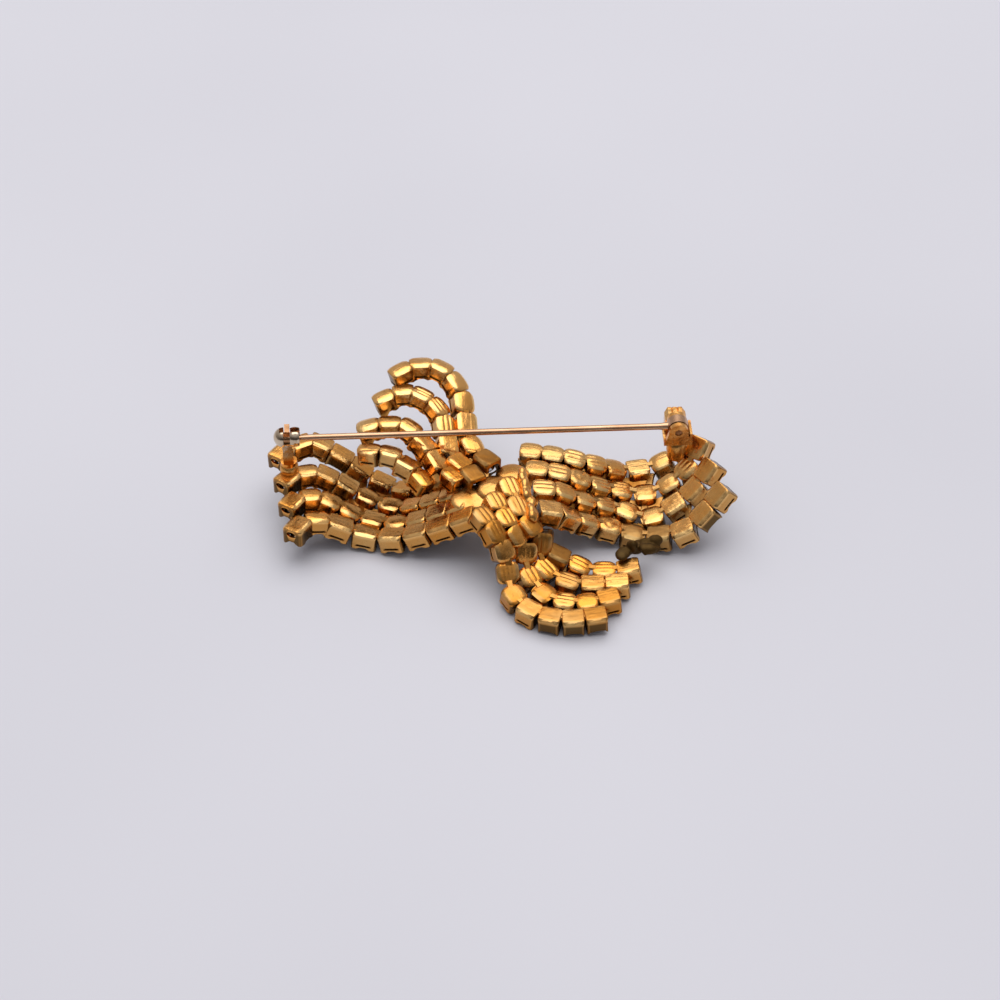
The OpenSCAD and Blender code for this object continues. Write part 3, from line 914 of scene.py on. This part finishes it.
def grown(name, tree, places, settings):
    # what the tree makes of the places, as a plain mesh
    piece = bpy.data.objects.new(name, pointsMesh(name, places))
    scene.collection.objects.link(piece)
    modifier = piece.modifiers.new("grow", "NODES")
    modifier.node_group = tree
    for item in tree.interface.items_tree:
        if item.in_out == "INPUT" and item.name in settings:
            modifier[item.identifier] = settings[item.name]
    mesh = plainMesh(piece)
    piece.modifiers.clear()
    piece.data = mesh
    mesh.name = name
    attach(piece, "brooch")
    return piece


# how unlike the cups are, how far the links reach, and how dark each part is
chain = {
    "wobble": 0.03,
    "seed": 7,
    "toneSpread": 0.16,
    "widthSpread": 0.02,
    "gap": 0.03,
    "oxide": 0.55,
    "neckDark": 0.3,
    "bridgeDark": 0.45,
    "bridgeReach": 0.5,
    "shortestBridge": 0.1,
}
dice = random.Random(chain["seed"])


def bridgePlaces(ribbon, tone):
    # bars of solder between neighbouring strands
    places = []
    for t in ribbon["bridges"]:
        for k in range(3):
            pair = ribbon["strands"][k:k + 2]
            if not max(p[0] for p in pair) <= t <= min(p[1] for p in pair):
                continue
            a, b = (cupFrame(ribbon["rows"], strandPoints(ribbon["rows"], m), t) for m in (k, k + 1))
            apart = np.linalg.norm(b[0] - a[0])
            along = (b[0] - a[0]) / apart
            up = np.cross(np.cross(along, a[3] + b[3]), along)
            up /= np.linalg.norm(up)
            span = apart - 2 * (bow["cupWidth"] / 2 - chain["bridgeReach"])
            if span > chain["shortestBridge"]:
                place = (a[0] / 2 + b[0] / 2 - up * bow["bridgeDepth"], along, np.cross(up, along), up)
                places.append((place, bridgeNumber, tone, (span, 1, 1), chain["bridgeDark"]))
    return places


def cupPlaces(name, ribbon):
    places = []
    inner, outer = ribbon["tone"]
    spread = chain["widthSpread"]
    for k, (strand, kinds) in enumerate(zip(cups[name], ribbon["kinds"])):
        for i, (place, letter) in enumerate(zip(strand, kinds, strict=True)):
            tone = inner + (outer - inner) * i / (len(strand) - 1)
            tone += dice.uniform(-1, 1) * chain["toneSpread"]
            length = (place[4] - chain["gap"]) / cupShape["length"]
            width = dice.uniform(1 - spread, 1 + spread) * ribbon["widen"]
            dark = chain["oxide"] if letter.isupper() else ribbon["dull"] * dice.random()
            places.append((place, cupKinds.index(letter.lower()), tone, (length, width, 1), dark))
        for origin, along, across, back, _ in necks[name][k]:
            place = (origin - back * bow["linkDepth"], along, across, back)
            places.append((place, neckNumber, inner, (1, 1, 1), chain["neckDark"]))
    return places + bridgePlaces(ribbon, inner)


def chainPiece(name, ribbon):
    settings = {
        "Shapes": chainStore,
        "Size": 1.0,
        "Wobble": chain["wobble"],
        "Seed": chain["seed"],
        "Finish": plated["goldPlate"],
    }
    piece = grown(f"cupChain_{name}", chainTree, cupPlaces(name, ribbon), settings)
    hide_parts("bow_frame")
    print("ribbon", name, "faces", len(piece.data.polygons))


def stonePiece(name):
    places = [(place, 0, 0, (1, 1, 1), 0) for strand in cups[name] for place in strand]
    settings = {
        "Shapes": stoneStore,
        "Size": 1.0,
        "Wobble": 0.0,
        "Seed": 1,
        "Finish": clearStone,
        "Foil": stoneFoil,
    }
    piece = grown(f"cutStones_{name}", stoneTree, places, settings)
    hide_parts(f"stones_{name}")


for name, ribbon in ribbons.items():
    chainPiece(name, ribbon)
    stonePiece(name)

# solder: places and radii in hundredths of the length, the rest in millimetres
solder = {
    "pools": [(-7.4, -5.2, 11.9, 3.2), (-5, -4, 11.8, 4), (-1.2, -3, 13.2, 3.8), (2.6, 1, 13, 3.6)],
    "poolDepth": 1.5,
    "voxel": 0.13,
    "smooth": (0.6, 3),
    "seamFrom": (4.6, -1.5, 14.6),
    "seamTo": (6.4, -12.5, 12.4),
    "seamSeed": 11,
    "seamCount": 24,
    "seamWidth": 1.6,
    "seamLumps": 0.3,
    "seamSize": (0.6, 1.1),
    "seamStretch": (1, 1.8),
    "seamSlim": 0.8,
    "darkFrom": (26, -14.8, 4.4),
    "darkTo": (31.5, -13.4, 5.4),
    "darkSeed": 5,
    "darkCount": 18,
    "darkSpread": 0.5,
    "darkFlat": (1, 0.8, 0.5),
    "darkSize": (0.5, 1.15),
    "dark": 0.93,
    "fillDark": 0.2,
    "fillSteps": 6,
    "fillSink": 1.3,
    "fillWaves": 0.12,
    "fillHollow": 0.1,
    "fillDepth": 0.5,
    "fillReach": 0.992,
}


def blob(made, centre, radii):
    sphere = bmesh.ops.create_icosphere(made, subdivisions=3, radius=1)["verts"]
    bmesh.ops.scale(made, vec=Vector(radii) * mm, verts=sphere)
    bmesh.ops.translate(made, vec=Vector(centre) * mm, verts=sphere)


def finishWith(mesh, material):
    mesh.materials.clear()
    mesh.materials.append(material)


def dressSolder(piece):
    finishWith(piece.data, plated["solderGold"])
    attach(piece, "brooch")
    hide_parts("bow_frame")


def meshPiece(name, made):
    piece = bpy.data.objects.new(name, meshFrom(name, made))
    scene.collection.objects.link(piece)
    return piece


def melted(name, made):
    piece = meshPiece(name, made)
    melt = piece.modifiers.new("melt", "REMESH")
    melt.mode, melt.voxel_size = "VOXEL", solder["voxel"] * mm
    settle = piece.modifiers.new("settle", "SMOOTH")
    settle.factor, settle.iterations = solder["smooth"]
    piece.data = plainMesh(piece)
    piece.modifiers.clear()
    smoothShade(piece.data, "melted")
    return piece


def darken(piece, amount):
    storeValues(piece.data, "oxide", "FLOAT", [amount] * len(piece.data.vertices))


def darkPiece():
    # a lump gone black with flux, between the right and the lower ribbon
    made = bmesh.new()
    lumps = random.Random(solder["darkSeed"])
    start, end = (inBow(solder[key]) + seat for key in ("darkFrom", "darkTo"))
    last = solder["darkCount"] - 1
    for i in range(solder["darkCount"]):
        shift = np.array([lumps.gauss(0, 1) * solder["darkSpread"] for _ in range(3)]) * solder["darkFlat"]
        radii = [lumps.uniform(*solder["darkSize"]) for _ in range(3)]
        blob(made, start + (end - start) * i / last + shift, radii)
    piece = melted("solderDark", made)
    darken(piece, solder["dark"])
    dressSolder(piece)


def solderPiece():
    # flat pools at the middle and a rough seam beside the right ribbon
    made = bmesh.new()
    half = solder["poolDepth"] / 2
    for x, y, z, r in solder["pools"]:
        radius = r * bow["length"] / 100
        blob(made, inBow((x, y, z)) + seat - np.array((0, 0, half)), (radius, radius, half))
    start, end = (inBow(solder[key]) + seat for key in ("seamFrom", "seamTo"))
    lumps = random.Random(solder["seamSeed"])
    last = solder["seamCount"] - 1
    for i in range(solder["seamCount"]):
        shift = np.array([lumps.uniform(-1, 1) * solder["seamLumps"] for _ in range(3)])
        size = solder["seamWidth"] / 2 * lumps.uniform(*solder["seamSize"])
        radii = (size * solder["seamSlim"], size * lumps.uniform(*solder["seamStretch"]), size)
        blob(made, start + (end - start) * i / last + shift, radii)
    dressSolder(melted("solder", made))


def fillPiece(name, ribbon):
    # solder that ran between two strands, a strip with a wavy top
    made = bmesh.new()
    ripple = random.Random(name)
    for k, first, last in ribbon["fills"]:
        count = max(2, round((last - first) * solder["fillSteps"]))
        rings = []
        for i in range(count + 1):
            t = first + (last - first) * i / count
            a, b = (cupFrame(ribbon["rows"], strandPoints(ribbon["rows"], m), t) for m in (k, k + 1))
            up = a[3] + b[3]
            up /= np.linalg.norm(up)
            reach = solder["fillReach"] if np.dot(b[0] - a[0], a[2]) > 0 else -solder["fillReach"]
            near, far = a[0] + a[2] * reach, b[0] - b[2] * reach
            top = solder["fillSink"] + ripple.uniform(-1, 1) * solder["fillWaves"]
            foot = solder["fillSink"] + solder["fillDepth"]
            middle = near / 2 + far / 2 - up * (top + solder["fillHollow"])
            section = [near - up * top, middle, far - up * top, far - up * foot, near - up * foot]
            rings.append([made.verts.new(Vector((p + seat) * mm)) for p in section])
        for a, b in zip(rings, rings[1:]):
            for n in range(5):
                made.faces.new((a[n], b[n], b[(n + 1) % 5], a[(n + 1) % 5]))
        made.faces.new(rings[0])
        made.faces.new(reversed(rings[-1]))
    bmesh.ops.recalc_face_normals(made, faces=made.faces)
    piece = meshPiece(f"solderFill_{name}", made)
    smoothShade(piece.data, "fill")
    darken(piece, solder["fillDark"])
    dressSolder(piece)


solderPiece()
darkPiece()
for name, ribbon in ribbons.items():
    fillPiece(name, ribbon)
print("solder: pools, seam, dark lump and fills laid")

# pads of solder under the fittings: place on the pin line and height as shares of the length,
# radius and depth; offset and turn are the pin line's
pads = {
    "catch": (-0.442, 0.121, 1.25, 1.8),
    "hinge": (0.375, 0.155, 1.35, 3.2),
    "offset": 4.6,
    "turn": 1.0,
    "steps": 28,
}


def padPiece(name, along, height, radius, depth):
    made = bmesh.new()
    profile = [(0, 0), (radius * 0.8, 0), (radius, -0.2), (radius * 1.04, -depth * 0.6)]
    profile += [(radius * 0.9, -depth), (0, -depth)]
    reach, turn = along * bow["length"], math.radians(pads["turn"])
    place = (reach * math.cos(turn), pads["offset"] + reach * math.sin(turn), height * bow["length"])
    x, y, z = np.array(place) + seat
    verts = [made.verts.new(((out + x) * mm, y * mm, (rise + z) * mm)) for out, rise in profile]
    edges = [made.edges.new((a, b)) for a, b in zip(verts, verts[1:])]
    centre, steps = Vector((x, y, z)) * mm, pads["steps"]
    bmesh.ops.spin(made, geom=verts + edges, cent=centre, axis=(0, 0, 1), angle=math.tau, steps=steps)
    bmesh.ops.remove_doubles(made, verts=made.verts, dist=1e-6)
    bmesh.ops.recalc_face_normals(made, faces=made.faces)
    piece = meshPiece(name, made)
    smoothShade(piece.data, "pad")
    dressSolder(piece)


for name in ("catch", "hinge"):
    padPiece(f"pad_{name}", *pads[name])
print("pads under catch and hinge")

# the fittings keep their solids and get their finish
fittings = {
    "catch_housing": "paleSilver",
    "catch_roller": "darkRivet",
    "hinge_body": "hingeGold",
    "hinge_rivet": "darkRivet",
    "pin_stem": "pinWire",
}
for node, finish in fittings.items():
    finishWith(frame["nodes"][node].data, plated[finish])
print("fittings:", list(fittings))

# pale table, soft light from above, brighter behind than in front
studio = {
    "floorSize": 3.0,
    "floorDeep": (0.66, 0.655, 0.70),
    "floorPale": (0.71, 0.705, 0.75),
    "floorNoise": (7, 2),
    "floorRoughness": 0.6,
    "floorShine": 0.2,
    "worldBack": (0.46, 0.45, 0.47),
    "worldFront": (0.07, 0.065, 0.065),
    "worldTurn": (0.1, 0.75),
    "worldTop": (0.58, 0.57, 0.60),
    "worldRise": (0.35, 0.95),
    "softbox": {"size": 0.8, "height": 0.62, "back": 0.16, "power": 3.5},
}


def makeFloor():
    half = studio["floorSize"] / 2
    corners = [(-half, -half, 0), (half, -half, 0), (half, half, 0), (-half, half, 0)]
    mesh = bpy.data.meshes.new("table")
    mesh.from_pydata(corners, [], [(0, 1, 2, 3)])
    material, tree, surface = newMaterial("paleTable")
    cloud = noiseOf(tree, objectCoords(tree), *studio["floorNoise"])
    setInputs(tree, surface, {
        "Base Color": rampOf(tree, cloud, [(0.3, studio["floorDeep"]), (0.7, studio["floorPale"])]),
        "Roughness": studio["floorRoughness"],
        "Specular IOR Level": studio["floorShine"],
    })
    mesh.materials.append(material)
    floor = bpy.data.objects.new("table", mesh)
    scene.collection.objects.link(floor)


def makeWorld():
    world = bpy.data.worlds.new("studio")
    world.use_nodes = True
    scene.world = world
    tree = world.node_tree
    way = splitOf(tree, addNode(tree, "ShaderNodeTexCoord").outputs["Generated"])
    fromFront = rangeOf(tree, way["Y"], 0, 1, -1, 1)
    start, end = studio["worldTurn"]
    around = rampOf(tree, fromFront, [(start, studio["worldFront"]), (end, studio["worldBack"])])
    overhead = rangeOf(tree, way["Z"], 0, 1, *studio["worldRise"])
    color = mixOf(tree, overhead, around, studio["worldTop"])
    setInputs(tree, tree.nodes["Background"], {"Color": color})


def makeSoftbox():
    box = studio["softbox"]
    light = bpy.data.lights.new("softbox", "AREA")
    light.shape, light.size, light.energy = "SQUARE", box["size"], box["power"]
    lamp = bpy.data.objects.new("softbox", light)
    lamp.location = (0, box["back"], box["height"])
    lamp.rotation_euler = Vector((0, -box["back"], -box["height"])).to_track_quat("-Z", "Y").to_euler()
    scene.collection.objects.link(lamp)


makeFloor()
makeWorld()
makeSoftbox()
print("studio: table, sky and softbox")

# lens and sensor in millimetres, angles in degrees, distance and height of the aim in millimetres
camera = {"lens": 85.0, "sensor": 36.0, "elevation": 42.0, "azimuth": -1.8, "distance": 330.6, "aim": 2.94}


def makeCamera():
    lens = bpy.data.cameras.new("camera")
    lens.lens, lens.sensor_width = camera["lens"], camera["sensor"]
    rise, turn = math.radians(camera["elevation"]), math.radians(camera["azimuth"])
    back = Vector((math.sin(turn) * math.cos(rise), -math.cos(turn) * math.cos(rise), math.sin(rise)))
    right = Vector((math.cos(turn), math.sin(turn), 0))
    up = back.cross(right)
    eye = bpy.data.objects.new("camera", lens)
    place = Vector(seat) * mm + up * camera["aim"] * mm + back * camera["distance"] * mm
    eye.matrix_world = Matrix.Translation(place) @ Matrix((right, up, back)).transposed().to_4x4()
    scene.collection.objects.link(eye)
    scene.camera = eye


makeCamera()
scene.view_settings.view_transform = "Standard"
